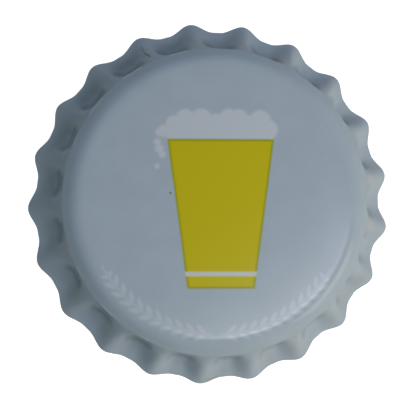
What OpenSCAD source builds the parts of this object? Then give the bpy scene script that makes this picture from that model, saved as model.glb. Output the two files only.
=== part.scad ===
// Crown cork for a 26 mm bottle finish, as pressed and not yet crimped.
// A fluted tinplate shell holds a moulded sealing liner under its panel.
// Millimetres. The rim stands on the plane z = 0, and the axis is Z.

/* [Crown] */
// Height from the rim to the top of the panel
crown_height = 6.0; // [5.6:0.05:7]
// Diameter over the flute crests at the rim
rim_crest_d = 32.1; // [31.4:0.05:33.4]
// Depth of the flutes at the rim, from crest to valley
flute_depth = 0.72; // [0.4:0.01:1.0]
// Inside diameter between the valleys, which grip the bottle's ring
grip_d = 26.75; // [26.3:0.05:27.2]
// Thickness of the tinplate
sheet_t = 0.24; // [0.18:0.01:0.30]

/* [Panel] */
// Radius of the domed panel
dome_radius = 170; // [140:5:400]
// Outside radius of the corner between the panel and the skirt
corner_radius = 1.7; // [1.5:0.05:2.0]

/* [Flutes] */
// Number of flutes
flute_count = 21; // [18:1:24]
// Direction of the first crest about the axis
first_crest = 10.2; // [0:0.1:20]
// How far the crests are narrowed against the valleys
crest_pinch = 0.10; // [0:0.01:0.16]
// Share of the wave's height that is cut off as a plain valley floor
floor_share = 0.06; // [0.05:0.01:0.10]
// Height of the upright part of a valley, under the corner
grip_height = 0.8; // [0.6:0.05:1.1]

/* [Liner] */
// How far round the corner the liner reaches, as an angle above the skirt
liner_reach = 43; // [38:1:50]
// Thickness of the film across the middle of the panel
film_t = 0.25; // [0.15:0.01:0.35]
// Thickness over the flat sealing land, where the panel meets the corner
land_t = 0.48; // [0.40:0.01:0.60]
// Width of the land between its two beads
land_w = 1.8; // [1.4:0.05:2]
// Radius of the half-round beads beside the land
bead_radius = 0.35; // [0.25:0.01:0.40]
// Gap between the outer bead and the shell's corner
bead_gap = 0.2; // [0.15:0.01:0.30]

/* [Hidden] */
$fn = 180;

// Steps of the curves
dome_steps = 8;
reach_steps = 6;
corner_steps = 6;
bead_steps = 8;
flute_steps = 10;
arc_rings = 2;
flare_rings = 5;

// Skirt: the upright floor of the valleys, and the rim
grip_r = grip_d / 2;
floor_r = grip_r + sheet_t;
crest_rim_r = rim_crest_d / 2;
valley_rim_r = crest_rim_r - flute_depth;

// The corner's centre, from which its arc touches both the dome and the valley floor
corner_x = floor_r - corner_radius;
dome_z = crown_height - dome_radius;
corner_z = dome_z + sqrt(pow(dome_radius - corner_radius, 2) - pow(corner_x, 2));
dome_slope = asin(corner_x / (dome_radius - corner_radius));

// The crests run straight from the rim and touch the corner's arc at crest_tilt above level
rim_reach = norm([crest_rim_r - corner_x, corner_z]);
crest_tilt = acos(corner_radius / rim_reach) - atan2(corner_z, crest_rim_r - corner_x);
join_r = corner_x + corner_radius * cos(crest_tilt);
join_z = corner_z + corner_radius * sin(crest_tilt);

// The valleys leave the upright floor on one arc, which ends at the rim
flare_z = corner_z - grip_height;
flare_angle = 2 * atan((valley_rim_r - floor_r) / flare_z);
flare_radius = flare_z / sin(flare_angle);

// Laps that keep the skirt's loft and the revolved top in one clean solid
lap = 0.25;
lap_inset = 0.05;
hair = 0.01;
over_cut = 0.3;
inside_dip = 0.12;

// The revolved cut clears the inside down to a height where the loft has already passed it
clear_z = flare_z * (1 - 0.7 / flare_rings);

// Points on an arc about the centre c, from angle a to angle b
function arc(c, r, a, b, steps) =
    [for (i = [0:steps]) let (t = a + (b - a) * i / steps) c + r * [cos(t), sin(t)]];

// The dome from the axis to the corner, then the corner down to the liner's edge.
// depth is how far under the outer face the line runs.
function panel_line(depth) = concat(
    arc([0, dome_z], dome_radius - depth, 90, 90 - dome_slope, dome_steps),
    [for (i = [1:reach_steps])
        let (t = 90 - dome_slope + (liner_reach - 90 + dome_slope) * i / reach_steps)
        [corner_x, corner_z] + (corner_radius - depth) * [cos(t), sin(t)]]
);

// The rest of the corner, from the liner's edge to an end angle
function corner_line(depth, end) =
    [for (i = [1:corner_steps])
        let (t = liner_reach + (end - liner_reach) * i / corner_steps)
        [corner_x, corner_z] + (corner_radius - depth) * [cos(t), sin(t)]];

// Radius of the skirt's outer face along a crest and along a valley, at height z
function crest_r(z) = crest_rim_r - z * tan(crest_tilt);
function valley_r(z) =
    z > corner_z ? corner_x + sqrt(pow(corner_radius, 2) - pow(z - corner_z, 2)) :
    z > flare_z ? floor_r :
    floor_r + flare_radius - sqrt(pow(flare_radius, 2) - pow(flare_z - z, 2));

// One flute's wave, 1 on the crest and 0 in the valley, at angle a about the axis.
// Below the floor it goes negative, and kept says whether it is cut off there.
function wave(a, kept) =
    let (
        u = flute_count * (a - first_crest),
        w = ((1 + cos(u)) / 2 - crest_pinch * pow(sin(u), 2) - floor_share) / (1 - floor_share)
    )
    kept ? w : max(w, 0);

function skirt_r(a, z, kept) = valley_r(z) + wave(a, kept) * (crest_r(z) - valley_r(z));

function polar(r, a, z) = [r * cos(a), r * sin(a), z];

// A point of the skirt's inner face: the outer point moved by the sheet's thickness along the normal
function inner_point(a, z, kept) =
    let (
        step = 0.05,
        r = skirt_r(a, z, kept),
        around = (skirt_r(a + step, z, kept) - skirt_r(a - step, z, kept)) / (2 * step * PI / 180) / r,
        upward = (skirt_r(a, z + step, kept) - skirt_r(a, z - step, kept)) / (2 * step),
        n = [1, -around, -upward] / norm([1, -around, -upward]),
        dip = inside_dip * max(0, z - corner_z) / (join_z - corner_z)
    )
    [
        (r - sheet_t * n[0] - dip) * cos(a) + sheet_t * n[1] * sin(a),
        (r - sheet_t * n[0] - dip) * sin(a) - sheet_t * n[1] * cos(a),
        z - sheet_t * n[2]
    ];

// Heights of the loft's rings under the join, down to just past the rim
ring_heights = concat(
    [for (i = [1:arc_rings]) join_z + (corner_z - join_z) * i / arc_rings],
    [for (i = [0:flare_rings - 1]) flare_z * (1 - i / flare_rings)],
    [-over_cut]
);

// One section of the skirt's wall at angle a: down the outer face, then up the inner one
function wall_section(a) = concat(
    [
        polar(corner_x + (corner_radius - lap_inset) * cos(crest_tilt) - lap / 2, a, join_z + lap),
        polar(join_r - hair, a, join_z)
    ],
    [for (z = ring_heights) polar(skirt_r(a, z, false), a, z)],
    [for (i = [len(ring_heights) - 1:-1:0]) inner_point(a, ring_heights[i], ring_heights[i] >= flare_z)],
    [polar(join_r - 2 * sheet_t, a, join_z)]
);

// The fluted wall as one closed loft round the axis
module fluted_wall() {
    columns = flute_count * flute_steps;
    sections = [for (i = [0:columns - 1]) wall_section(first_crest + 360 * i / columns)];
    size = len(sections[0]);
    points = [for (s = sections) each s];
    faces = [
        for (i = [0:columns - 1])
        for (j = [0:size - 1])
        let (
            here = i * size,
            next = ((i + 1) % columns) * size,
            down = (j + 1) % size
        )
        each [[here + j, next + j, next + down], [here + j, next + down, here + down]]
    ];
    polyhedron(points = points, faces = faces, convexity = 6);
}

// The domed top with its rounded corner, full down to the join with the skirt
module domed_top() {
    rotate_extrude()
        polygon(concat(panel_line(0), corner_line(0, crest_tilt), [[0, join_z]]));
}

// The inside of the panel, the corner and the valley floors
module inside_form() {
    rotate_extrude()
        polygon(concat(panel_line(sheet_t), corner_line(sheet_t, 0), [[grip_r, clear_z], [0, clear_z]]));
}

// Everything under the rim's plane
module under_rim() {
    half = crest_rim_r + over_cut;
    translate([-half, -half, -2 * over_cut])
        cube([2 * half, 2 * half, 2 * over_cut]);
}

// Pressed tinplate shell: domed panel, rounded corner and fluted skirt in one sheet
module crown_shell() {
    color([0.58, 0.64, 0.68])
        difference() {
            union() {
                domed_top();
                fluted_wall();
            }
            inside_form();
            under_rim();
        }
}

// Moulded liner: a film across the panel, and a flat land between two beads
module seal_liner() {
    land_z = corner_z + (corner_radius - sheet_t) * cos(dome_slope) - land_t;
    wall_r = corner_x + sqrt(pow(corner_radius - sheet_t, 2) - pow(land_z - corner_z, 2));
    outer_bead_r = wall_r - bead_gap - bead_radius;
    inner_bead_r = outer_bead_r - 2 * bead_radius - land_w;
    film_r = dome_radius - sheet_t - film_t;
    film_edge = inner_bead_r - bead_radius;
    color([0.88, 0.88, 0.85])
        rotate_extrude()
            polygon(concat(
                panel_line(sheet_t),
                arc([outer_bead_r, land_z], bead_radius, 0, -180, bead_steps),
                arc([inner_bead_r, land_z], bead_radius, 0, -180, bead_steps),
                arc([0, dome_z], film_r, 90 - asin(film_edge / film_r), 90, dome_steps)
            ));
}

crown_shell();
seal_liner();
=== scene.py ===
"""Crown cork: a printed and lacquered tinplate shell over a moulded sealing liner.

The shell and the liner are both a profile swept round the cap's axis by a node tree. The shell's
own tree also presses its flutes and gives it the sheet's thickness. Lengths are in millimetres
until a mesh is made, and in metres from there on.
"""

import logging
import math
from dataclasses import dataclass
from enum import Enum

import bpy
from bpy.types import Material, Node, NodeSocket, NodeTree, Object, World
from mathutils import Matrix, Vector


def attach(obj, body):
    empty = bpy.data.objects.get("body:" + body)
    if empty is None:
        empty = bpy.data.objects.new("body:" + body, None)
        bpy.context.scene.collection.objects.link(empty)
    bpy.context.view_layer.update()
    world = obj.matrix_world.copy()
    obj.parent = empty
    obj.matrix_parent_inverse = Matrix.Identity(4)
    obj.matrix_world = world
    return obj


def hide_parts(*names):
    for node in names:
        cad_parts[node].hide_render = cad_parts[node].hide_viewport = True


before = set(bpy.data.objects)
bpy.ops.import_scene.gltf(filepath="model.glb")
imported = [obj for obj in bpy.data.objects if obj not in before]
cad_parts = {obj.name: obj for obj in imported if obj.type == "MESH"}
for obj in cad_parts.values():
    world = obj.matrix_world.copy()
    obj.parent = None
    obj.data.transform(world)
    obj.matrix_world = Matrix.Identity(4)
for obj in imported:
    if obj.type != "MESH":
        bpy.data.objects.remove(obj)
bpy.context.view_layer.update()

MM = 0.001
# Points that lie closer than this are one point, in metres
WELD = 1e-7
# Points that lie lower than this are on the rim's plane, in metres
RIM_HEIGHT = 1e-6
# Height of the crisp edge over the valleys, in mm, and half the width and the colour of a pale line along
# it
EDGE_HEIGHT = 4.57
EDGE_LINE_HALF_WIDTH = 0.045
EDGE_LINE_COLOUR = "#B4B1AE"
# An edge that turns by more than this stays sharp, in degrees
SHARP_ANGLE = 40.0
# Nearly all of a noise texture lies between these two values
NOISE_LOW = 0.3
NOISE_HIGH = 0.7

# The kinds of node that come up most
MATH = "ShaderNodeMath"
VECTOR_MATH = "ShaderNodeVectorMath"
MAP_RANGE = "ShaderNodeMapRange"
MIX = "ShaderNodeMix"
NOISE = "ShaderNodeTexNoise"

Point = tuple[float, float]

log = logging.getLogger("crown_cork")


# ---------------------------------------------------------------- small tools


def linear(code: str) -> tuple[float, float, float, float]:
    """Turn an sRGB hex colour into linear RGBA.

    Args:
        code: Six hex digits after a hash sign.

    Returns:
        Red, green and blue in linear light, and an alpha of 1.
    """
    parts = [int(code[i : i + 2], 16) / 255 for i in (1, 3, 5)]
    light = [c / 12.92 if c <= 0.04045 else ((c + 0.055) / 1.055) ** 2.4 for c in parts]
    return (*light, 1.0)


def set_inputs(node: Node, links: dict) -> None:
    """Set some of a node's inputs.

    Args:
        node: The node.
        links: What each input takes, by its number or name: a node, whose first output is taken,
            a socket, or a plain value.
    """
    for key, value in links.items():
        if isinstance(value, Node):
            value = value.outputs[0]
        if isinstance(value, NodeSocket):
            node.id_data.links.new(value, node.inputs[key])
        else:
            node.inputs[key].default_value = value


def add_node(
    tree: NodeTree, kind: str, settings: dict | None = None, links: dict | None = None
) -> Node:
    """Add one node to a tree, with its settings and its inputs.

    Args:
        tree: The node tree that the node joins.
        kind: Blender's type name of the node.
        settings: The node's own properties, by name.
        links: What its inputs take, as set_inputs reads it.

    Returns:
        The new node.
    """
    node = tree.nodes.new(kind)
    for name, value in (settings or {}).items():
        setattr(node, name, value)
    set_inputs(node, links or {})
    return node


def point_at(start: Point, distance: float, angle: float) -> Point:
    """Give the point that lies at a distance from another.

    Args:
        start: Radius and height of the other point, in mm.
        distance: Distance between them, in mm.
        angle: Direction from the other point, in degrees above the outward level.

    Returns:
        The point, as radius and height in mm.
    """
    turn = math.radians(angle)
    return (start[0] + distance * math.cos(turn), start[1] + distance * math.sin(turn))


def arc(centre: Point, radius: float, start: float, end: float, steps: int) -> list[Point]:
    """Give points on an arc, without its first one.

    Args:
        centre: Radius and height of the arc's centre, in mm.
        radius: Radius of the arc, in mm.
        start: Angle of the point before the first, in degrees above the outward level.
        end: Angle of the last point, in degrees.
        steps: Number of points.

    Returns:
        The points, as radius and height in mm.
    """
    return [point_at(centre, radius, start + (end - start) * i / steps) for i in range(1, steps + 1)]


def run(start: Point, end: Point, steps: int) -> list[Point]:
    """Give evenly spaced points on a straight run, without its first one.

    Args:
        start: Radius and height of the point before the first, in mm.
        end: Radius and height of the last point.
        steps: Number of points.

    Returns:
        The points, as radius and height in mm.
    """
    return [
        (start[0] + (end[0] - start[0]) * i / steps, start[1] + (end[1] - start[1]) * i / steps)
        for i in range(1, steps + 1)
    ]


# ------------------------------------------------------------------- finishes


class Coat(Enum):
    """The faces of the tinplate that are finished in different ways."""

    PRINTED = 0
    INSIDE = 1
    SHEARED = 2


def start_material(name: str) -> tuple[Material, Node]:
    """Start a material for a piece of the cap.

    Args:
        name: Name of the material.

    Returns:
        The material, and the node with the place on the piece in mm.
    """
    material = bpy.data.materials.new(name)
    material.use_nodes = True
    tree = material.node_tree
    place = add_node(tree, "ShaderNodeTexCoord").outputs["Object"]
    return material, add_node(tree, VECTOR_MATH, {"operation": "SCALE"}, {0: place, "Scale": 1 / MM})


@dataclass(frozen=True)
class Mark:
    """One mark on the coat, as a round-ended stroke.

    Attributes:
        start: Place where the stroke starts, in mm.
        end: Place where it ends.
        half_width: Half its width, in mm.
        colour: What shows there, as sRGB hex.
        strength: How much of it shows, from 0 to 1.
    """

    start: tuple[float, float, float]
    end: tuple[float, float, float]
    half_width: float
    colour: str
    strength: float


def pale_edge_line(start: Point, end: Point, strength: float) -> Mark:
    """Give a pale line along the crisp edge over a valley.

    Args:
        start: Place where the mark starts, seen from above, in mm.
        end: Place where it ends.
        strength: How much of it shows, from 0 to 1.

    Returns:
        The mark.
    """
    return Mark((*start, EDGE_HEIGHT), (*end, EDGE_HEIGHT), EDGE_LINE_HALF_WIDTH, EDGE_LINE_COLOUR, strength)


@dataclass(frozen=True)
class PanelPrint:
    """The print on the panel: a plain tapered glass of beer over two ears of barley.

    Attributes:
        middle: Where the print's own middle lies against the axis, in mm.
        turn: How far the print is turned anticlockwise, in degrees.
        brim_y: Height of the glass's brim above the print's middle, in mm.
        foot_y: Height of its foot.
        brim_half: Half the glass's width at the brim.
        foot_half: Half its width at the foot.
        stripe: Lower and upper edge of the pale stripe over the foot.
        froth: Half width and upper edge of the foam's plain part, under its puffs.
        puffs: Centre and radius of each round puff of the foam, and of each drip down its side.
        ear_radius: Radius of the circle that both ears' stems follow about the axis.
        ear_middle: Direction from which the ears run both ways, in degrees.
        ear_span: Where an ear's grains start and end, in mm along its stem.
        ear_ends: How far the stem runs on past the first grain and past the last one.
        grain_pitch: Distance from grain to grain along the stem.
        grain_size: Half length and half width of a grain.
        grain_lean: Angle between a grain and the stem, in degrees.
        grain_offset: Distance of the grains' middles from the stem.
        stem: Half width of the stem.
        line: Width of the dark line where the beer's ink laps over the enamel's edge.
        beer_edge: Softness of the beer's edges.
        pale_edge: Softness of the pale ink's edges.
        beer: Ink of the beer.
        lap: Ink of the dark line round the beer.
        foam: Ink of the foam and of the ears.
        band: Ink of the stripe.
        ear_cover: How much the ears' thin ink covers.
    """

    middle: tuple[float, float] = (0.274, 0.19)
    turn: float = 0.15
    brim_y: float = 5.24
    foot_y: float = -7.77
    brim_half: float = 4.695
    foot_half: float = 2.956
    stripe: tuple[float, float] = (-6.69, -6.29)
    froth: tuple[float, float] = (4.7, 6.6)
    puffs: tuple[tuple[float, float, float], ...] = (
        (-5.35, 5.80, 0.35),
        (-4.95, 5.95, 0.55),
        (-4.00, 6.45, 0.85),
        (-3.10, 7.00, 0.85),
        (-1.70, 6.95, 0.95),
        (-0.40, 6.50, 0.95),
        (0.75, 7.00, 0.90),
        (1.60, 7.00, 0.88),
        (2.50, 6.40, 0.95),
        (3.50, 6.85, 0.95),
        (4.20, 6.10, 0.85),
        (-5.55, 4.95, 0.30),
        (-5.40, 4.40, 0.38),
        (-5.15, 3.90, 0.30),
        (-5.59, 2.86, 0.22),
    )
    ear_radius: float = 11.55
    ear_middle: float = 269.5
    ear_span: tuple[float, float] = (0.9, 11.4)
    ear_ends: tuple[float, float] = (0.5, 0.8)
    grain_pitch: float = 1.0
    grain_size: tuple[float, float] = (0.52, 0.20)
    grain_lean: float = 35.0
    grain_offset: float = 0.36
    stem: float = 0.05
    line: float = 0.18
    beer_edge: float = 0.105
    pale_edge: float = 0.17
    beer: str = "#9E9406"
    lap: str = "#7C8000"
    foam: str = "#99A0AC"
    band: str = "#A0A6A6"
    ear_cover: float = 0.6

    def step(self, tree: NodeTree, inside: Node, edge: float) -> Node:
        """Turn a distance inside an edge, in mm, into a mask with a soft edge."""
        soft = {"interpolation_type": "SMOOTHSTEP"}
        return add_node(tree, MAP_RANGE, soft, {0: inside, 1: -edge, 2: edge})

    def between(self, tree: NodeTree, place: NodeSocket, low: float, high: float) -> Node:
        """Give how far a place lies between two limits.

        Args:
            tree: The material's node tree.
            place: The place along one axis, in mm.
            low: Lower limit, in mm.
            high: Upper limit, in mm.

        Returns:
            The node with the distance to the nearer limit, which is negative outside them.
        """
        above = add_node(tree, MATH, {"operation": "SUBTRACT"}, {0: place, 1: low})
        below = add_node(tree, MATH, {"operation": "SUBTRACT"}, {0: high, 1: place})
        return add_node(tree, MATH, {"operation": "MINIMUM"}, {0: above, 1: below})

    def glass(self, tree: NodeTree, x: NodeSocket, y: NodeSocket) -> Node:
        """Give how far a place lies inside the glass, which tapers evenly from its brim to its foot.

        Args:
            tree: The material's node tree.
            x: Sideways place from the print's middle, in mm.
            y: Upward place, in mm.

        Returns:
            The node with the distance inside the glass's edge, in mm.
        """
        half = add_node(
            tree,
            MAP_RANGE,
            {"clamp": False},
            {0: y, 1: self.foot_y, 2: self.brim_y, 3: self.foot_half, 4: self.brim_half},
        )
        side = add_node(tree, MATH, {"operation": "ABSOLUTE"}, {0: x})
        in_side = add_node(tree, MATH, {"operation": "SUBTRACT"}, {0: half, 1: side})
        in_ends = self.between(tree, y, self.foot_y, self.brim_y)
        return add_node(tree, MATH, {"operation": "MINIMUM"}, {0: in_side, 1: in_ends})

    def head(self, tree: NodeTree, place: Node, x: NodeSocket, y: NodeSocket) -> Node:
        """Give how far a place lies inside the foam: a plain block on the brim under round puffs.

        Args:
            tree: The material's node tree.
            place: Place from the print's middle, in mm.
            x: Its sideways part.
            y: Its upward part.

        Returns:
            The node with the distance inside the foam's edge, in mm.
        """
        half, top = self.froth
        in_side = self.between(tree, x, -half, half)
        in_ends = self.between(tree, y, self.brim_y, top)
        inside = add_node(tree, MATH, {"operation": "MINIMUM"}, {0: in_side, 1: in_ends})
        for puff_x, puff_y, radius in self.puffs:
            middle = (puff_x, puff_y, 0.0)
            away = add_node(tree, VECTOR_MATH, {"operation": "DISTANCE"}, {0: place, 1: middle})
            within = add_node(
                tree, MATH, {"operation": "SUBTRACT"}, {0: radius, 1: away.outputs["Value"]}
            )
            inside = add_node(tree, MATH, {"operation": "MAXIMUM"}, {0: inside, 1: within})
        return inside

    def ears(self, tree: NodeTree, flat: Node) -> Node:
        """Mask two ears of barley, which run both ways from the foot of the panel along one circle.

        Args:
            tree: The material's node tree.
            flat: Place from the cap's axis, in mm.

        Returns:
            The node with the mask, 1 inside a grain or a stem.
        """
        start, end = self.ear_span
        under, over = self.ear_ends
        length, width = self.grain_size
        # The circle is turned so that its angle is 0 in the ears' middle, and folded there
        turned = add_node(
            tree,
            "ShaderNodeMapping",
            {"vector_type": "TEXTURE"},
            {0: flat, "Rotation": (0.0, 0.0, math.radians(self.ear_middle))},
        )
        axes = add_node(tree, "ShaderNodeSeparateXYZ", links={0: turned}).outputs
        angle = add_node(tree, MATH, {"operation": "ARCTAN2"}, {0: axes[1], 1: axes[0]})
        angle = add_node(tree, MATH, {"operation": "ABSOLUTE"}, {0: angle})
        along = add_node(tree, MATH, {"operation": "MULTIPLY"}, {0: angle, 1: self.ear_radius})
        away = add_node(tree, VECTOR_MATH, {"operation": "LENGTH"}, {0: turned})
        across = add_node(
            tree, MATH, {"operation": "SUBTRACT"}, {0: away.outputs["Value"], 1: self.ear_radius}
        )
        across = add_node(tree, MATH, {"operation": "ABSOLUTE"}, {0: across})
        # Place in a grain's own cell, from the grain's middle
        cell = add_node(
            tree, MATH, {"operation": "WRAP"}, {0: along, 1: start + self.grain_pitch, 2: start}
        )
        cell = add_node(
            tree, MATH, {"operation": "SUBTRACT"}, {0: cell, 1: start + self.grain_pitch / 2}
        )
        beside = add_node(tree, MATH, {"operation": "SUBTRACT"}, {0: across, 1: self.grain_offset})
        local = add_node(tree, "ShaderNodeCombineXYZ", links={0: cell, 1: beside, 2: 0.0})
        local = add_node(
            tree,
            "ShaderNodeMapping",
            {"vector_type": "TEXTURE"},
            {
                0: local,
                "Rotation": (0.0, 0.0, math.radians(self.grain_lean)),
                "Scale": (length, width, 1.0),
            },
        )
        ring = add_node(tree, VECTOR_MATH, {"operation": "LENGTH"}, {0: local})
        grain = add_node(
            tree, MATH, {"operation": "MULTIPLY_ADD"}, {0: ring.outputs["Value"], 1: -width, 2: width}
        )
        among = self.between(tree, along, start, end)
        grain = add_node(tree, MATH, {"operation": "MINIMUM"}, {0: grain, 1: among})
        stem = add_node(tree, MATH, {"operation": "SUBTRACT"}, {0: self.stem, 1: across})
        among = self.between(tree, along, start - under, end + over)
        stem = add_node(tree, MATH, {"operation": "MINIMUM"}, {0: stem, 1: among})
        ear = add_node(tree, MATH, {"operation": "MAXIMUM"}, {0: grain, 1: stem})
        return self.step(tree, ear, self.beer_edge)

    def paint(self, tree: NodeTree, flat: Node, ground: NodeSocket) -> NodeSocket:
        """Lay the inks over the ground colour, in the order in which they are printed.

        Args:
            tree: The material's node tree.
            flat: Place from the cap's axis seen from above, in mm.
            ground: The colour under the print.

        Returns:
            The colour with the print on it.
        """
        place = add_node(
            tree,
            "ShaderNodeMapping",
            {"vector_type": "TEXTURE"},
            {
                0: flat,
                "Location": (*self.middle, 0.0),
                "Rotation": (0.0, 0.0, math.radians(self.turn)),
            },
        )
        x, y, _ = add_node(tree, "ShaderNodeSeparateXYZ", links={0: place}).outputs
        inside = self.glass(tree, x, y)
        core = add_node(tree, MATH, {"operation": "SUBTRACT"}, {0: inside, 1: self.line})
        stripe = self.between(tree, y, *self.stripe)
        stripe = add_node(tree, MATH, {"operation": "MINIMUM"}, {0: inside, 1: stripe})
        ears = self.ears(tree, flat)
        ears = add_node(tree, MATH, {"operation": "MULTIPLY"}, {0: ears, 1: self.ear_cover})
        layers = (
            (ears, self.foam),
            (self.step(tree, self.head(tree, place, x, y), self.pale_edge), self.foam),
            (self.step(tree, inside, self.beer_edge), self.lap),
            (self.step(tree, core, self.beer_edge), self.beer),
            (self.step(tree, stripe, self.beer_edge), self.band),
        )
        colour = ground
        for mask, ink in layers:
            mix = add_node(tree, MIX, {"data_type": "RGBA"}, {0: mask, 6: colour, 7: linear(ink)})
            colour = mix.outputs[2]
        return colour


@dataclass(frozen=True)
class RollerCoatedTinplate:
    """Tinplate roller-coated with an opaque grey-blue enamel, printed by offset and varnished.

    The eye gets an even, slightly mottled colour, and from the varnish soft and rather weak
    highlights with a very fine orange peel in them.

    Attributes:
        ground: Colour of the enamel.
        mottle: How much lighter or darker the enamel is from place to place.
        mottle_size: Size of its mottling, in mm.
        peel: Size of the orange peel's bumps, in mm.
        peel_height: Height of a full bump, in mm.
        peel_strength: How much of that height shows.
        roughness: Roughness of the enamel.
        varnish: Share of the shine of a full coat that the thin varnish gives.
        varnish_roughness: Its roughness.
        varnish_ior: Its refractive index.
        print: What is printed on the panel.
        marks: Marks of wear and stains, and pale lines along the crisp edge.
        mark_fade: Share of a mark's half width over which its edge fades, to either side.
        drape: How much heights count for in a mark's width, so that it reaches along a steep wall.
    """

    ground: str = "#85919F"
    mottle: float = 0.03
    mottle_size: float = 3.0
    peel: float = 0.35
    peel_height: float = 0.02
    peel_strength: float = 0.06
    roughness: float = 0.6
    varnish: float = 0.215
    varnish_roughness: float = 0.16
    varnish_ior: float = 1.5
    print: PanelPrint = PanelPrint()
    marks: tuple[Mark, ...] = (
        # A dark scratch down a crest
        Mark((-6.12, 13.80, 1.12), (-5.92, 13.10, 2.31), 0.09, "#3F4A54", 0.28),
        Mark((-5.92, 13.10, 2.31), (-5.76, 12.98, 2.73), 0.10, "#3F4A54", 0.45),
        Mark((-5.76, 12.98, 2.73), (-5.62, 12.80, 3.24), 0.10, "#3F4A54", 0.55),
        # Pale lines along the crisp edges, and a reddish one
        pale_edge_line((-2.56, 13.19), (-4.04, 12.82), 0.5),
        pale_edge_line((-6.52, 11.75), (-7.32, 11.27), 0.75),
        pale_edge_line((-7.32, 11.27), (-8.20, 10.65), 0.6),
        pale_edge_line((-9.99, 8.99), (-10.52, 8.37), 0.75),
        pale_edge_line((-10.52, 8.37), (-11.06, 7.63), 0.6),
        pale_edge_line((-12.03, 6.00), (-12.50, 4.93), 0.35),
        pale_edge_line((-12.18, -5.68), (-11.64, -6.72), 0.35),
        pale_edge_line((-9.99, -8.99), (-9.08, -9.91), 0.4),
        pale_edge_line((-6.62, -11.70), (-5.89, -12.08), 0.3),
        Mark((0.31, 13.43, EDGE_HEIGHT), (1.64, 13.41, 4.50), 0.05, "#9C6A5C", 0.5),
        # A speck on the panel, rusty spots on the skirt, and a tint on the rim
        Mark((-4.17, 0.72, 5.95), (-4.15, 0.70, 5.95), 0.09, "#2E3A42", 0.8),
        Mark((13.11, -4.91, 2.66), (13.15, -4.87, 2.50), 0.10, "#A48C84", 0.7),
        Mark((11.65, -7.06, 2.42), (11.71, -7.00, 2.32), 0.13, "#A88C84", 0.6),
        Mark((7.17, -11.80, 3.78), (7.23, -11.76, 3.78), 0.13, "#8C8078", 0.6),
        Mark((-0.20, -15.62, 0.23), (0.80, -15.30, 0.08), 0.13, "#7F866C", 0.6),
    )
    mark_fade: float = 0.5
    drape: float = 0.4

    def lay_marks(self, tree: NodeTree, mm: Node, colour: NodeSocket) -> NodeSocket:
        """Lay the marks over the coat.

        Args:
            tree: The material's node tree.
            mm: Place on the cap, in mm.
            colour: The colour under the marks.

        Returns:
            The colour with the marks on it.
        """
        squash = Vector((1.0, 1.0, self.drape))
        place = add_node(tree, VECTOR_MATH, {"operation": "MULTIPLY"}, {0: mm, 1: squash})
        for mark in self.marks:
            start, end = Vector(mark.start) * squash, Vector(mark.end) * squash
            stroke = end - start
            # Distance to the stroke: how far along it the nearest point lies, kept between its ends
            offset = add_node(tree, VECTOR_MATH, {"operation": "SUBTRACT"}, {0: place, 1: start})
            share = add_node(
                tree,
                VECTOR_MATH,
                {"operation": "DOT_PRODUCT"},
                {0: offset, 1: stroke / stroke.length_squared},
            )
            share = add_node(tree, "ShaderNodeClamp", links={0: share.outputs["Value"]})
            near = add_node(tree, VECTOR_MATH, {"operation": "SCALE"}, {0: stroke, "Scale": share})
            gap = add_node(tree, VECTOR_MATH, {"operation": "DISTANCE"}, {0: offset, 1: near})
            mask = add_node(
                tree,
                MAP_RANGE,
                {"interpolation_type": "SMOOTHSTEP"},
                {
                    0: gap.outputs["Value"],
                    1: mark.half_width * (1 + self.mark_fade),
                    2: mark.half_width * (1 - self.mark_fade),
                    3: 0.0,
                    4: mark.strength,
                },
            )
            mix = add_node(tree, MIX, {"data_type": "RGBA"}, {0: mask, 6: colour, 7: linear(mark.colour)})
            colour = mix.outputs[2]
        return colour

    def build(self) -> Material:
        """Make the material.

        Returns:
            The material.
        """
        material, mm = start_material("roller_coated_tinplate")
        tree = material.node_tree
        flat = add_node(tree, VECTOR_MATH, {"operation": "MULTIPLY"}, {0: mm, 1: (1.0, 1.0, 0.0)})
        cloud = add_node(
            tree,
            NOISE,
            links={"Vector": mm, "Scale": 1 / self.mottle_size, "Detail": 3.0, "Roughness": 0.6},
        )
        tint = add_node(
            tree,
            MAP_RANGE,
            links={0: cloud, 1: NOISE_LOW, 2: NOISE_HIGH, 3: 1 - self.mottle, 4: 1 + self.mottle},
        )
        ground = linear(self.ground)[:3]
        ground = add_node(tree, VECTOR_MATH, {"operation": "SCALE"}, {0: ground, "Scale": tint})
        # Orange peel, as a roller leaves it: bumps a third of a mm wide and about a thousandth high
        peel = add_node(tree, NOISE, links={"Vector": mm, "Scale": 1 / self.peel, "Detail": 2.0})
        bump = add_node(
            tree,
            "ShaderNodeBump",
            links={"Strength": self.peel_strength, "Distance": self.peel_height * MM, "Height": peel},
        )
        printed = self.print.paint(tree, flat, ground.outputs[0])
        # The pigment scatters as a plain matt base, and all the shine comes from the varnish over it
        look = {
            "Base Color": self.lay_marks(tree, mm, printed),
            "Roughness": self.roughness,
            "Specular IOR Level": 0.0,
            "Coat Weight": self.varnish,
            "Coat Roughness": self.varnish_roughness,
            "Coat IOR": self.varnish_ior,
            "Coat Normal": bump,
        }
        set_inputs(tree.nodes["Principled BSDF"], look)
        return material


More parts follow.
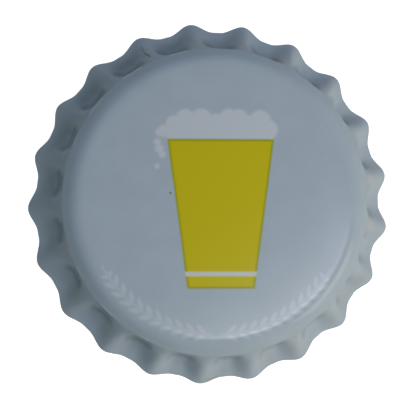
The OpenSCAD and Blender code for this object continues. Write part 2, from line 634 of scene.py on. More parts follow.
@dataclass(frozen=True)
class ClearLacqueredTinplate:
    """Bright tinplate under a clear lacquer, as rolled.

    The eye gets a cool silver with soft reflections, drawn out a little by the mill's fine rolling
    lines, which run one way across the blank.

    Attributes:
        metal: Colour of the tin.
        line: Spacing of the rolling lines, in mm.
        line_squeeze: How much the lines' noise is squeezed along each axis.
        line_height: Height of the lines' relief, in mm.
        line_strength: How much of that height shows.
        roughness: Lowest and highest roughness of the metal.
        stain: Size of its stains, in mm.
        stain_tone: Brightness of the darkest stain, against clean metal.
        lacquer: Weight of the lacquer's coat.
        lacquer_roughness: Its roughness.
    """

    metal: str = "#C6C5BF"
    line: float = 0.12
    line_squeeze: tuple[float, float, float] = (0.02, 1.0, 0.3)
    line_height: float = 0.01
    line_strength: float = 0.12
    roughness: tuple[float, float] = (0.26, 0.38)
    stain: float = 2.5
    stain_tone: float = 0.9
    lacquer: float = 0.4
    lacquer_roughness: float = 0.12

    def build(self) -> Material:
        """Make the material.

        Returns:
            The material.
        """
        material, mm = start_material("clear_lacquered_tinplate")
        tree = material.node_tree
        # Rolling lines: noise that is fifty times longer along the mill's direction than across it
        drawn = add_node(tree, VECTOR_MATH, {"operation": "MULTIPLY"}, {0: mm, 1: self.line_squeeze})
        lines = add_node(tree, NOISE, links={"Vector": drawn, "Scale": 1 / self.line, "Detail": 2.0})
        low, high = self.roughness
        rough = add_node(
            tree, MAP_RANGE, links={0: lines, 1: NOISE_LOW, 2: NOISE_HIGH, 3: low, 4: high}
        )
        bump = add_node(
            tree,
            "ShaderNodeBump",
            links={"Strength": self.line_strength, "Distance": self.line_height * MM, "Height": lines},
        )
        stain = add_node(tree, NOISE, links={"Vector": mm, "Scale": 1 / self.stain, "Detail": 4.0})
        tone = add_node(
            tree, MAP_RANGE, links={0: stain, 1: NOISE_LOW, 2: NOISE_HIGH, 3: self.stain_tone, 4: 1.0}
        )
        metal = linear(self.metal)[:3]
        look = {
            "Base Color": add_node(tree, VECTOR_MATH, {"operation": "SCALE"}, {0: metal, "Scale": tone}),
            "Metallic": 1.0,
            "Roughness": rough,
            "Normal": bump,
            "Coat Weight": self.lacquer,
            "Coat Roughness": self.lacquer_roughness,
        }
        set_inputs(tree.nodes["Principled BSDF"], look)
        return material


@dataclass(frozen=True)
class ShearedSteel:
    """The blank's sheared edge: bare low-carbon steel between its two tin skins.

    The eye gets a dull grey line, streaked across by the shear and dulled in places by first rust.

    Attributes:
        steel: Colour of the clean steel.
        dull: Colour of the dulled places.
        patch: Size of the dulled places, in mm.
        patch_edge: Values of the noise between which the steel turns dull.
        streak: Spacing of the shear's streaks along the rim, in mm.
        roughness: Lowest and highest roughness of the streaks.
    """

    steel: str = "#8F8E8A"
    dull: str = "#6E655D"
    patch: float = 1.5
    patch_edge: tuple[float, float] = (0.45, 0.65)
    streak: float = 0.15
    roughness: tuple[float, float] = (0.35, 0.6)

    def build(self) -> Material:
        """Make the material.

        Returns:
            The material.
        """
        material, mm = start_material("sheared_steel")
        tree = material.node_tree
        patch = add_node(tree, NOISE, links={"Vector": mm, "Scale": 1 / self.patch, "Detail": 4.0})
        clean, dulled = self.patch_edge
        share = add_node(tree, MAP_RANGE, links={0: patch, 1: clean, 2: dulled})
        tones = {6: linear(self.steel), 7: linear(self.dull)}
        steel = add_node(tree, MIX, {"data_type": "RGBA"}, {0: share, **tones})
        streaks = add_node(tree, NOISE, links={"Vector": mm, "Scale": 1 / self.streak, "Detail": 1.0})
        low, high = self.roughness
        rough = add_node(
            tree, MAP_RANGE, links={0: streaks, 1: NOISE_LOW, 2: NOISE_HIGH, 3: low, 4: high}
        )
        look = {
            "Base Color": steel.outputs[2],
            "Metallic": 1.0,
            "Roughness": rough,
        }
        set_inputs(tree.nodes["Principled BSDF"], look)
        return material


@dataclass(frozen=True)
class MouldedLinerCompound:
    """A soft polyolefin sealing compound, punched hot into the shell as one drop.

    The eye gets an off-white, slightly see-through skin with faint rings from the punch and faint
    flow marks running outwards.

    Attributes:
        body: Colour of the compound.
        deep: Colour of its flow marks.
        ring: Spacing of the punch's turned rings, in mm.
        ring_height: Height of the rings against that of the flow marks.
        flow: Number of flow marks in each radian round the axis.
        flow_drift: How fast the flow marks change outwards, for each mm.
        relief_height: Height of the whole relief, in mm.
        relief_strength: How much of that height shows.
        roughness: Roughness of the skin.
        ior: Refractive index of the compound.
        glow: How much of its light has passed under the skin.
        glow_depth: How deep that light goes, in mm.
        glow_colour: Share of that depth for red, green and blue.
    """

    body: str = "#DDDCD3"
    deep: str = "#D0CFC4"
    ring: float = 0.25
    ring_height: float = 0.25
    flow: float = 9.0
    flow_drift: float = 0.08
    relief_height: float = 0.03
    relief_strength: float = 0.2
    roughness: float = 0.45
    ior: float = 1.5
    glow: float = 0.3
    glow_depth: float = 0.6
    glow_colour: tuple[float, float, float] = (1.0, 0.9, 0.75)

    def build(self) -> Material:
        """Make the material.

        Returns:
            The material.
        """
        material, mm = start_material("moulded_liner_compound")
        tree = material.node_tree
        flat = add_node(tree, VECTOR_MATH, {"operation": "MULTIPLY"}, {0: mm, 1: (1.0, 1.0, 0.0)})
        away = add_node(tree, VECTOR_MATH, {"operation": "LENGTH"}, {0: flat}).outputs["Value"]
        rings = add_node(tree, MATH, {"operation": "MULTIPLY"}, {0: away, 1: math.tau / self.ring})
        rings = add_node(tree, MATH, {"operation": "SINE"}, {0: rings})
        # Flow marks: noise stretched outwards, so it is read by direction and only slowly by radius
        heading = add_node(tree, VECTOR_MATH, {"operation": "NORMALIZE"}, {0: flat})
        slow = add_node(tree, MATH, {"operation": "MULTIPLY"}, {0: away, 1: self.flow_drift})
        east, north, _ = add_node(tree, "ShaderNodeSeparateXYZ", links={0: heading}).outputs
        around = add_node(tree, "ShaderNodeCombineXYZ", links={0: east, 1: north, 2: slow})
        flow = add_node(tree, NOISE, links={"Vector": around, "Scale": self.flow, "Detail": 3.0})
        relief = add_node(
            tree, MATH, {"operation": "MULTIPLY_ADD"}, {0: rings, 1: self.ring_height, 2: flow}
        )
        bump = add_node(
            tree,
            "ShaderNodeBump",
            links={
                "Strength": self.relief_strength,
                "Distance": self.relief_height * MM,
                "Height": relief,
            },
        )
        tones = {6: linear(self.body), 7: linear(self.deep)}
        compound = add_node(tree, MIX, {"data_type": "RGBA"}, {0: flow, **tones})
        look = {
            "Base Color": compound.outputs[2],
            "Roughness": self.roughness,
            "IOR": self.ior,
            "Normal": bump,
            "Subsurface Weight": self.glow,
            "Subsurface Radius": self.glow_colour,
            "Subsurface Scale": self.glow_depth * MM,
        }
        set_inputs(tree.nodes["Principled BSDF"], look)
        return material


# ---------------------------------------------------------------- swept forms


class SweepTree:
    """A node tree that sweeps the profile it is given round the axis, as a closed form.

    Attributes:
        name: Name of the tree.
        inputs: Name and socket type of each input that it has beside the profile.
    """

    name: str = "sweep_profile"
    inputs: tuple[tuple[str, str], ...] = (
        ("Columns", "NodeSocketInt"),
        ("First Column", "NodeSocketFloat"),
        ("Outside", "NodeSocketMaterial"),
    )

    def __init__(self) -> None:
        """Build the tree with its named inputs."""
        self.tree = bpy.data.node_groups.new(self.name, "GeometryNodeTree")
        face = self.tree.interface
        face.new_socket("Geometry", in_out="INPUT", socket_type="NodeSocketGeometry")
        for name, kind in self.inputs:
            face.new_socket(name, in_out="INPUT", socket_type=kind)
        face.new_socket("Geometry", in_out="OUTPUT", socket_type="NodeSocketGeometry")
        self.given = add_node(self.tree, "NodeGroupInput").outputs
        add_node(self.tree, "NodeGroupOutput", links={0: self.close(self.skin())})

    def swell(self, turn: Node, axes: Node) -> NodeSocket:
        """Give the radius of a point of the form.

        Args:
            turn: Angle about the axis, counted from the first column, in radians.
            axes: The profile's point, split into its axes.

        Returns:
            The profile's own radius.
        """
        return axes.outputs[0]

    def skin(self) -> Node:
        """Lay a grid over the profile and the turn, and weld its seam and its pole.

        Returns:
            The node with the swept skin.
        """
        tree, given = self.tree, self.given
        columns = given["Columns"]
        line = given["Geometry"]
        size = add_node(tree, "GeometryNodeAttributeDomainSize", {"component": "MESH"}, {0: line})
        rows = size.outputs["Point Count"]
        seam = add_node(tree, "FunctionNodeIntegerMath", {"operation": "ADD"}, {0: columns, 1: 1})
        grid = add_node(tree, "GeometryNodeMeshGrid", links={"Vertices X": seam, "Vertices Y": rows})
        split = {0: add_node(tree, "GeometryNodeInputIndex"), 1: rows}
        column = add_node(tree, "FunctionNodeIntegerMath", {"operation": "DIVIDE_FLOOR"}, split)
        row = add_node(tree, "FunctionNodeIntegerMath", {"operation": "MODULO"}, split)
        share = add_node(tree, MATH, {"operation": "DIVIDE"}, {0: column, 1: columns})
        turn = add_node(tree, MATH, {"operation": "MULTIPLY"}, {0: share, 1: math.tau})
        place = add_node(tree, "GeometryNodeInputPosition")
        sample = add_node(
            tree,
            "GeometryNodeSampleIndex",
            {"data_type": "FLOAT_VECTOR", "domain": "POINT"},
            {"Geometry": line, "Value": place, "Index": row},
        )
        axes = add_node(tree, "ShaderNodeSeparateXYZ", links={0: sample})
        radius = self.swell(turn, axes)
        start = given["First Column"]
        heading = add_node(tree, MATH, {"operation": "ADD"}, {0: turn, 1: start})
        east = add_node(tree, MATH, {"operation": "COSINE"}, {0: heading})
        north = add_node(tree, MATH, {"operation": "SINE"}, {0: heading})
        x = add_node(tree, MATH, {"operation": "MULTIPLY"}, {0: radius, 1: east})
        y = add_node(tree, MATH, {"operation": "MULTIPLY"}, {0: radius, 1: north})
        spot = add_node(tree, "ShaderNodeCombineXYZ", links={0: x, 1: y, 2: axes.outputs[2]})
        swept = add_node(tree, "GeometryNodeSetPosition", links={"Geometry": grid, "Position": spot})
        # The grid's columns run anticlockwise and its rows outwards, so its faces start facing down
        turned = add_node(tree, "GeometryNodeFlipFaces", links={0: swept})
        return add_node(
            tree, "GeometryNodeMergeByDistance", links={"Geometry": turned, "Distance": WELD}
        )

    def close(self, skin: Node) -> Node:
        """End the tree.

        Args:
            skin: The node with the swept skin, which is already closed.

        Returns:
            The node with the finished form.
        """
        real = add_node(self.tree, "GeometryNodeRealizeInstances", links={0: skin})
        finish = {"Geometry": real, "Material": self.given["Outside"]}
        return add_node(self.tree, "GeometryNodeSetMaterial", links=finish)

    def make(self, name: str, profile: list[Point], values: dict) -> Object:
        """Sweep one profile and keep the result as a plain mesh.

        Args:
            name: Name of the piece.
            profile: Radius and height of the profile's points, in mm.
            values: The tree's inputs, by name.

        Returns:
            The finished object, at the origin and without modifiers.
        """
        mesh = bpy.data.meshes.new(name + "_profile")
        mesh.from_pydata([(r * MM, 0, z * MM) for r, z in profile], [], [])
        piece = bpy.data.objects.new(name, mesh)
        bpy.context.scene.collection.objects.link(piece)
        modifier = piece.modifiers.new("Sweep", "NODES")
        modifier.node_group = self.tree
        for item in self.tree.interface.items_tree:
            if item.name in values:
                modifier[item.identifier] = values[item.name]
        ready = bpy.context.evaluated_depsgraph_get()
        solid = bpy.data.meshes.new_from_object(piece.evaluated_get(ready), depsgraph=ready)
        piece.modifiers.clear()
        piece.data = solid
        bpy.data.meshes.remove(mesh)
        solid.name = name
        # The bare profile leaves an empty slot before those of the finishes
        solid.materials.pop(index=0)
        solid.shade_smooth()
        solid.set_sharp_from_angle(angle=math.radians(SHARP_ANGLE))
        return piece


@dataclass(frozen=True)
class Ripple:
    """One slow, even variation round the skirt.

    Attributes:
        waves: How many times it rises in one turn.
        height: How high it rises, in degrees or mm.
        top: Where it is highest, in degrees from +X towards +Y.
    """

    waves: int
    height: float
    top: float


Ripples = tuple[Ripple, ...]


class PressTree(SweepTree):
    """A sweep that presses flutes into the skirt and gives the sheet its thickness."""

    name: str = "press_sheet"
    inputs: tuple[tuple[str, str], ...] = SweepTree.inputs + (
        ("Flutes", "NodeSocketInt"),
        ("Crest Radius", "NodeSocketFloat"),
        ("Crest Slope", "NodeSocketFloat"),
        ("Crest Hollow", "NodeSocketFloat"),
        ("Cone Radius", "NodeSocketFloat"),
        ("Cone Slope", "NodeSocketFloat"),
        ("Cone Height", "NodeSocketFloat"),
        ("Cone Blend", "NodeSocketFloat"),
        ("Pinch", "NodeSocketFloat"),
        ("Floor Share", "NodeSocketFloat"),
        ("Floor Blend", "NodeSocketFloat"),
        ("Thickness", "NodeSocketFloat"),
        ("Inside", "NodeSocketMaterial"),
        ("Edge", "NodeSocketMaterial"),
    )

    def __init__(self, stray: Ripples, oval: Ripples, reach: Ripples) -> None:
        """Build the tree with one cap's own unevenness.

        Args:
            stray: How the flutes stray from an even pitch, in degrees.
            oval: How the rim strays from a true circle, in mm.
            reach: How far the crests reach out beyond the rest of the rim, in mm.
        """
        self.stray, self.oval, self.reach = stray, oval, reach
        super().__init__()

    def ripple(self, turn: Node, parts: Ripples, unit: float) -> Node:
        """Add up the slow ripples round the skirt.

        Args:
            turn: Angle about the axis, counted from the first column, in radians.
            parts: The ripples.
            unit: What one unit of their height is worth in the tree.

        Returns:
            The node with their sum.
        """
        tree = self.tree
        start = self.given["First Column"]
        heading = add_node(tree, MATH, {"operation": "ADD"}, {0: turn, 1: start})
        total: Node | float = 0.0
        for part in parts:
            phase = add_node(
                tree,
                MATH,
                {"operation": "MULTIPLY_ADD"},
                {0: heading, 1: part.waves, 2: -part.waves * math.radians(part.top)},
            )
            swing = add_node(tree, MATH, {"operation": "COSINE"}, {0: phase})
            total = add_node(
                tree, MATH, {"operation": "MULTIPLY_ADD"}, {0: swing, 1: part.height * unit, 2: total}
            )
        return total

    def wave(self, turn: Node) -> Node:
        """Give the height of the flutes' wave, 1 on a crest and 0 along a valley's floor.

        Args:
            turn: Angle about the axis, counted from the first crest, in radians.

        Returns:
            The node with the wave's height.
        """
        tree, given = self.tree, self.given
        floor = given["Floor Share"]
        stray = self.ripple(turn, self.stray, math.radians(1))
        phase = add_node(tree, MATH, {"operation": "SUBTRACT"}, {0: turn, 1: stray})
        phase = add_node(tree, MATH, {"operation": "MULTIPLY"}, {0: phase, 1: given["Flutes"]})
        cosine = add_node(tree, MATH, {"operation": "COSINE"}, {0: phase})
        sine = add_node(tree, MATH, {"operation": "SINE"}, {0: phase})
        square = add_node(tree, MATH, {"operation": "MULTIPLY"}, {0: sine, 1: sine})
        pinched = add_node(tree, MATH, {"operation": "MULTIPLY"}, {0: square, 1: given["Pinch"]})
        wave = add_node(tree, MATH, {"operation": "MULTIPLY_ADD"}, {0: cosine, 1: 0.5, 2: 0.5})
        wave = add_node(tree, MATH, {"operation": "SUBTRACT"}, {0: wave, 1: pinched})
        # What lies under the floor's share of the wave becomes a plain floor
        wave = add_node(tree, MATH, {"operation": "SUBTRACT"}, {0: wave, 1: floor})
        rest = add_node(tree, MATH, {"operation": "SUBTRACT"}, {0: 1.0, 1: floor})
        wave = add_node(tree, MATH, {"operation": "DIVIDE"}, {0: wave, 1: rest})
        blend = given["Floor Blend"]
        return add_node(tree, MATH, {"operation": "SMOOTH_MAX"}, {0: wave, 1: 0.0, 2: blend})

    def swell(self, turn: Node, axes: Node) -> NodeSocket:
        """Give the skirt's radius, from the profile along a valley to the line of a crest.

        Args:
            turn: Angle about the axis, counted from the first crest, in radians.
            axes: The profile's point, split into its axes.

        Returns:
            The radius with the flutes in it.
        """
        tree, given = self.tree, self.given
        radius, _, height = axes.outputs
        # A crest runs up from the rim in a slightly hollow line until it meets the shoulder's cone
        slope = add_node(
            tree,
            MATH,
            {"operation": "MULTIPLY_ADD"},
            {0: height, 1: given["Crest Hollow"], 2: given["Crest Slope"]},
        )
        crest = add_node(
            tree, MATH, {"operation": "MULTIPLY_ADD"}, {0: height, 1: slope, 2: given["Crest Radius"]}
        )
        cone = add_node(
            tree,
            MATH,
            {"operation": "MULTIPLY_ADD"},
            {0: height, 1: given["Cone Slope"], 2: given["Cone Radius"]},
        )
        blend = given["Cone Blend"]
        lift = add_node(tree, MATH, {"operation": "SMOOTH_MIN"}, {0: crest, 1: cone, 2: blend})
        lift = add_node(tree, MATH, {"operation": "SUBTRACT"}, {0: lift, 1: radius})
        lift = add_node(tree, MATH, {"operation": "MAXIMUM"}, {0: lift, 1: 0.0})
        top = given["Cone Height"]
        below = add_node(tree, MATH, {"operation": "LESS_THAN"}, {0: height, 1: top})
        lift = add_node(tree, MATH, {"operation": "MULTIPLY"}, {0: lift, 1: below})
        wave = self.wave(turn)
        pressed = add_node(tree, MATH, {"operation": "MULTIPLY_ADD"}, {0: lift, 1: wave, 2: radius})
        # The free rim is a little out of true, which fades out towards the cone
        free = add_node(tree, MAP_RANGE, links={0: height, 1: top, 2: 0.0, 3: 0.0, 4: 1.0})
        reach = self.ripple(turn, self.reach, MM)
        oval = self.ripple(turn, self.oval, MM)
        bent = add_node(tree, MATH, {"operation": "MULTIPLY_ADD"}, {0: wave, 1: reach, 2: oval})
        bent = add_node(tree, MATH, {"operation": "MULTIPLY_ADD"}, {0: bent, 1: free, 2: pressed})
        return bent.outputs[0]

    def close(self, skin: Node) -> Node:
        """Give the skin its thickness, and each side of it its finish.

        Args:
            skin: The node with the outer skin.

        Returns:
            The node with the finished sheet.
        """
        tree, given = self.tree, self.given
        held = add_node(tree, "GeometryNodeCaptureAttribute", {"domain": "POINT"}, {"Geometry": skin})
        held.capture_items.new("VECTOR", "Normal")
        set_inputs(held, {"Normal": add_node(tree, "GeometryNodeInputNormal")})
        way = held.outputs["Normal"]
        drawn = add_node(
            tree,
            "GeometryNodeExtrudeMesh",
            {"mode": "FACES"},
            {"Mesh": held.outputs["Geometry"], "Offset Scale": 0.0, "Individual": False},
        )
        # Inwards along the normal, but level at the rim, which stays in one plane
        place = add_node(tree, "GeometryNodeInputPosition")
        height = add_node(tree, "ShaderNodeSeparateXYZ", links={0: place}).outputs[2]
        at_rim = add_node(tree, MATH, {"operation": "LESS_THAN"}, {0: height, 1: RIM_HEIGHT})
        level = add_node(tree, VECTOR_MATH, {"operation": "MULTIPLY"}, {0: way, 1: (1.0, 1.0, 0.0)})
        square = add_node(tree, VECTOR_MATH, {"operation": "DOT_PRODUCT"}, {0: level, 1: level})
        gain = add_node(tree, MATH, {"operation": "DIVIDE"}, {0: 1.0, 1: square.outputs["Value"]})
        level = add_node(tree, VECTOR_MATH, {"operation": "SCALE"}, {0: level, "Scale": gain})
        step = add_node(tree, MIX, {"data_type": "VECTOR"}, {0: at_rim, 4: way, 5: level})
        depth = add_node(tree, MATH, {"operation": "MULTIPLY"}, {0: given["Thickness"], 1: -1.0})
        move = add_node(tree, VECTOR_MATH, {"operation": "SCALE"}, {0: step.outputs[1], "Scale": depth})
        inner = add_node(
            tree,
            "GeometryNodeSetPosition",
            links={
                "Geometry": drawn.outputs["Mesh"],
                "Selection": drawn.outputs["Top"],
                "Offset": move,
            },
        )
        inner = add_node(tree, "GeometryNodeFlipFaces", links={0: inner})
        sheet = add_node(tree, "GeometryNodeJoinGeometry", links={0: inner})
        set_inputs(sheet, {0: skin})
        sheet = add_node(
            tree, "GeometryNodeMergeByDistance", links={"Geometry": sheet, "Distance": WELD}
        )
        form = add_node(tree, "GeometryNodeRealizeInstances", links={0: sheet})
        for picked, finish in ((None, "Outside"), ("Top", "Inside"), ("Side", "Edge")):
            links = {"Geometry": form, "Material": given[finish]}
            if picked:
                links["Selection"] = drawn.outputs[picked]
            form = add_node(tree, "GeometryNodeSetMaterial", links=links)
        return form


# --------------------------------------------------------------------- pieces


@dataclass
class CrownShell:
    """The pressed shell: domed panel, rounded shoulder and fluted skirt in one sheet.

    Attributes:
        height: From the rim to the top of the panel.
        crest_d: Diameter over the crests at the rim.
        flute_depth: Depth of the flutes at the rim.
        grip_d: Inside diameter between the valleys.
        sheet: Thickness of the tinplate.
        dome_radius: Radius of the panel's dome.
        panel_r: Radius at which the panel starts to bend down.
        bends: Radius of each bend outside it, and the angle above level at which its normal ends.
        cone: Width of the cone under the last bend, seen from above.
        break_radius: Radius of the crisp edge between the cone and a valley.
        wall_lean: Lean of a valley's wall under that edge, in degrees.
        flare: Radius of the bend with which a valley flares outwards, and its lean at the rim.
        flutes: Number of flutes.
        first_crest: Direction of the first crest, in degrees.
        crest_drop: How far under the crisp edge a crest's line leaves the cone.
        crest_hollow: How far a crest's line is hollow between the cone and the rim.
        crest_blend: Length over which the cone and a crest's line turn into each other.
        pinch: How far the crests are narrowed against the valleys.
        floor_share: Share of the wave that is a plain valley floor.
        floor_blend: Share of the wave over which its sides turn into that floor.
        burr: Width of the burred edges at the rim.
        burr_steps: Steps round each of them.
        stray: How the flutes stray from an even pitch, in degrees.
        oval: How the rim strays from a true circle, in mm.
        reach: How far the crests reach out beyond the rest of the rim, in mm.
        columns: Columns of the mesh in each flute.
        dome_steps: Steps of the mesh along the dome.
        bend_steps: Steps round each bend.
        cone_steps: Steps down the cone.
        edge_steps: Steps round the crisp edge.
        wall_steps: Steps down the leaning wall.
        floor_steps: Steps down the upright floor.
        flare_steps: Steps round the flare.
    """

    height: float = 6.0
    crest_d: float = 32.1
    flute_depth: float = 0.72
    grip_d: float = 26.75
    sheet: float = 0.24
    dome_radius: float = 170.0
    panel_r: float = 11.62
    bends: tuple[tuple[float, float], ...] = ((3.57, 78.0), (1.72, 43.0))
    cone: float = 0.43
    break_radius: float = 0.08
    wall_lean: float = 7.0
    flare: tuple[float, float] = (3.0, 56.0)
    flutes: int = 21
    first_crest: float = 10.3
    crest_drop: float = 0.17
    crest_hollow: float = 0.28
    crest_blend: float = 0.05
    pinch: float = 0.10
    floor_share: float = 0.06
    floor_blend: float = 0.08
    burr: float = 0.03
    burr_steps: int = 2
    stray: Ripples = (Ripple(1, 0.41, 204.0), Ripple(3, 0.26, 106.0), Ripple(4, 0.22, 49.0))
    oval: Ripples = (Ripple(1, 0.057, 276.0), Ripple(2, 0.080, 42.0))
    reach: Ripples = (Ripple(1, 0.125, 37.0), Ripple(2, 0.058, 172.0), Ripple(3, 0.044, 80.0))
    columns: int = 20
    dome_steps: int = 12
    bend_steps: int = 8
    cone_steps: int = 3
    edge_steps: int = 3
    wall_steps: int = 5
    floor_steps: int = 4
    flare_steps: int = 10

    def __post_init__(self) -> None:
        """Work out the places that follow from the sizes."""
        self.floor_r = self.grip_d / 2 + self.sheet
        self.rim_r = self.crest_d / 2 - self.flute_depth
        self.dome_z = self.height - self.dome_radius
        self.dome_end = 90 - math.degrees(math.asin(self.panel_r / self.dome_radius))
        self.cone_normal = self.bends[-1][1]
        self.cone_fall = math.tan(math.radians(90 - self.cone_normal))
        # A crest's line is a parabola from the rim up to the cone's own line, hollow in its middle
        foot_r, foot_z = self.cone_foot()
        foot_z -= self.crest_drop
        foot_r += self.crest_drop / self.cone_fall
        chord = (self.crest_d / 2 - foot_r) / foot_z
        self.crest_bend = 4 * self.crest_hollow / foot_z**2
        self.crest_slope = chord + self.crest_bend * foot_z

    def bend_ends(self) -> list[Point]:
        """Give where each bend starts and where the last one ends.

        Returns:
            The points, as radius and height in mm.
        """
        angle = self.dome_end
        place = (self.panel_r, self.dome_z + math.sqrt(self.dome_radius**2 - self.panel_r**2))
        ends = [place]
        for radius, end in self.bends:
            centre = point_at(place, -radius, angle)
            place = point_at(centre, radius, end)
            ends.append(place)
            angle = end
        return ends

    def cone_foot(self) -> Point:
        """Give the cone's lower edge over a valley, as radius and height in mm."""
        radius, height = self.bend_ends()[-1]
        return (radius + self.cone, height - self.cone * self.cone_fall)

    def panel_line(self, depth: float) -> list[Point]:
        """Give the line of the panel and its bends, from the axis outwards.

        Args:
            depth: How far under the outer face the line runs, in mm.

        Returns:
            The points, as radius and height in mm.
        """
        angle = self.dome_end
        line = [(0.0, self.height - depth)]
        line += arc((0, self.dome_z), self.dome_radius - depth, 90, angle, self.dome_steps)
        for start, (radius, end) in zip(self.bend_ends(), self.bends):
            centre = point_at(start, -radius, angle)
            line += arc(centre, radius - depth, angle, end, self.bend_steps)
            angle = end
        return line

    def profile(self) -> list[Point]:
        """Give the outer line along a valley, from the axis down to the rim.

        Returns:
            The points, as radius and height in mm.
        """
        foot = self.cone_foot()
        line = self.panel_line(0)
        line += run(line[-1], foot, self.cone_steps)
        centre = point_at(foot, -self.break_radius, self.cone_normal)
        line += arc(centre, self.break_radius, self.cone_normal, self.wall_lean, self.edge_steps)
        wall_r, wall_z = line[-1]
        floor_z = wall_z - (self.floor_r - wall_r) / math.tan(math.radians(self.wall_lean))
        line += run(line[-1], (self.floor_r, floor_z), self.wall_steps)
        # The flare is a bend that ends in a short straight run down to the rim
        radius, lean = self.flare
        across = self.rim_r - self.floor_r - radius * (1 - math.cos(math.radians(lean)))
        flare_z = radius * math.sin(math.radians(lean)) + across / math.tan(math.radians(lean))
        line += run(line[-1], (self.floor_r, flare_z), self.floor_steps)
        line += arc((self.floor_r + radius, flare_z), radius, 180, 180 + lean, self.flare_steps)
        return line + [(self.rim_r, 0.0)]

    def build(self, coats: dict[Coat, Material]) -> Object:
        """Press the shell, and give it to the body that it rides on.

        Args:
            coats: The finish of each face of the sheet.

        Returns:
            The shell.
        """
        cone_r, cone_z = self.bend_ends()[-1]
        values = {
            "Columns": self.flutes * self.columns,
            "First Column": math.radians(self.first_crest),
            "Flutes": self.flutes,
            "Crest Radius": self.crest_d / 2 * MM,
            "Crest Slope": -self.crest_slope,
            "Crest Hollow": self.crest_bend / MM,
            "Cone Radius": (cone_r + cone_z / self.cone_fall) * MM,
            "Cone Slope": -1 / self.cone_fall,
            "Cone Height": cone_z * MM,
            "Cone Blend": self.crest_blend * MM,
            "Pinch": self.pinch,
            "Floor Share": self.floor_share,
            "Floor Blend": self.floor_blend,
            "Thickness": self.sheet * MM,
            "Outside": coats[Coat.PRINTED],
            "Inside": coats[Coat.INSIDE],
            "Edge": coats[Coat.SHEARED],
        }
        tree = PressTree(self.stray, self.oval, self.reach)
        shell = tree.make("pressed_shell", self.profile(), values)
        burr = shell.modifiers.new("Rim", "BEVEL")
        burr.width = self.burr * MM
        burr.segments = self.burr_steps
        burr.limit_method = "ANGLE"
        burr.angle_limit = math.radians(SHARP_ANGLE)
        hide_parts("crown_shell")
        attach(shell, "root")
        log.info("%s: %d faces", shell.name, len(shell.data.polygons))
        return shell


@dataclass
class SealLiner:
    """The moulded liner: a film across the panel, and a flat land between two beads.

    Attributes:
        shell: The shell that it lies in.
        film: Thickness of the film across the middle.
        land_z: Height of the land's face over the rim.
        land_width: Width of the land between its beads.
        bead: Radius of the beads.
        gap: Gap between the outer bead and the shell's corner.
        columns: Columns of the mesh in the whole turn.
        bead_steps: Steps of the mesh round each bead.
        film_steps: Steps across the film's underside.
    """

    shell: CrownShell
    film: float = 0.25
    land_z: float = 4.854
    land_width: float = 1.8
    bead: float = 0.35
    gap: float = 0.1
    columns: int = 240
    bead_steps: int = 12
    film_steps: int = 10

    def profile(self) -> list[Point]:
        """Give the liner's closed line: out under the panel, and back along its own underside.

        Returns:
            The points, as radius and height in mm.
        """
        shell = self.shell
        middle = (0, shell.dome_z)
        line = shell.panel_line(shell.sheet)
        outer = line[-1][0] - self.gap - self.bead
        inner = outer - 2 * self.bead - self.land_width
        film_r = shell.dome_radius - shell.sheet - self.film
        edge = 90 - math.degrees(math.asin((inner - self.bead) / film_r))
        for bead in (outer, inner):
            line.append((bead + self.bead, self.land_z))
            line += arc((bead, self.land_z), self.bead, 0, -180, self.bead_steps)
        line.append(point_at(middle, film_r, edge))
        return line + arc(middle, film_r, edge, 90, self.film_steps)

    def build(self, tree: SweepTree, compound: Material) -> Object:
        """Mould the liner, and give it to the body that it rides on.

        Args:
            tree: The tree that sweeps it.
            compound: Its finish.

        Returns:
            The liner.
        """
        values = {"Columns": self.columns, "First Column": 0.0, "Outside": compound}
        liner = tree.make("moulded_liner", self.profile(), values)
        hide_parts("seal_liner")
        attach(liner, "root")
        log.info("%s: %d faces", liner.name, len(liner.data.polygons))
        return liner


# --------------------------------------------------------------------- studio


@dataclass(frozen=True)
class Lamp:
    """A square soft box that points at the cap.

    Attributes:
        name: Name of the lamp.
        azimuth: Direction from the cap, in degrees from +X towards +Y.
        elevation: Height above level, in degrees.
        distance: Distance from the cap, in metres.
        size: Side of the box, in metres.
        power: Power in watts.
        colour: Colour of its light, as sRGB hex.
    """

    name: str
    azimuth: float
    elevation: float
    distance: float
    size: float
    power: float
    colour: str

    def build(self) -> Object:
        """Hang the lamp.

        Returns:
            The lamp.
        """
        light = bpy.data.lights.new(self.name, "AREA")
        light.size = self.size
        light.energy = self.power
        light.color = linear(self.colour)[:3]
        lamp = bpy.data.objects.new(self.name, light)
        bpy.context.scene.collection.objects.link(lamp)
        away = direction(self.azimuth, self.elevation)
        lamp.location = away * self.distance
        lamp.rotation_euler = away.to_track_quat("Z", "Y").to_euler()
        return lamp


def direction(azimuth: float, elevation: float) -> Vector:
    """Give the unit vector of a direction.

    Args:
        azimuth: Angle from +X towards +Y, in degrees.
        elevation: Height above level, in degrees.

    Returns:
        The vector.
    """
    a, e = math.radians(azimuth), math.radians(elevation)
    return Vector((math.cos(e) * math.cos(a), math.cos(e) * math.sin(a), math.sin(e)))


def seen_rays(tree: NodeTree) -> Node:
    """Tell the rays that show a surface itself from those that carry its light on.

    Args:
        tree: The node tree that the nodes join.

    Returns:
        The node that is 1 for a ray from the camera, from a shine or through glass, and else 0.
    """
    rays = add_node(tree, "ShaderNodeLightPath").outputs
    camera, glossy, through = (rays[f"Is {kind} Ray"] for kind in ("Camera", "Glossy", "Transmission"))
    seen = add_node(tree, MATH, {"operation": "MAXIMUM"}, {0: camera, 1: glossy})
    return add_node(tree, MATH, {"operation": "MAXIMUM"}, {0: seen, 1: through})


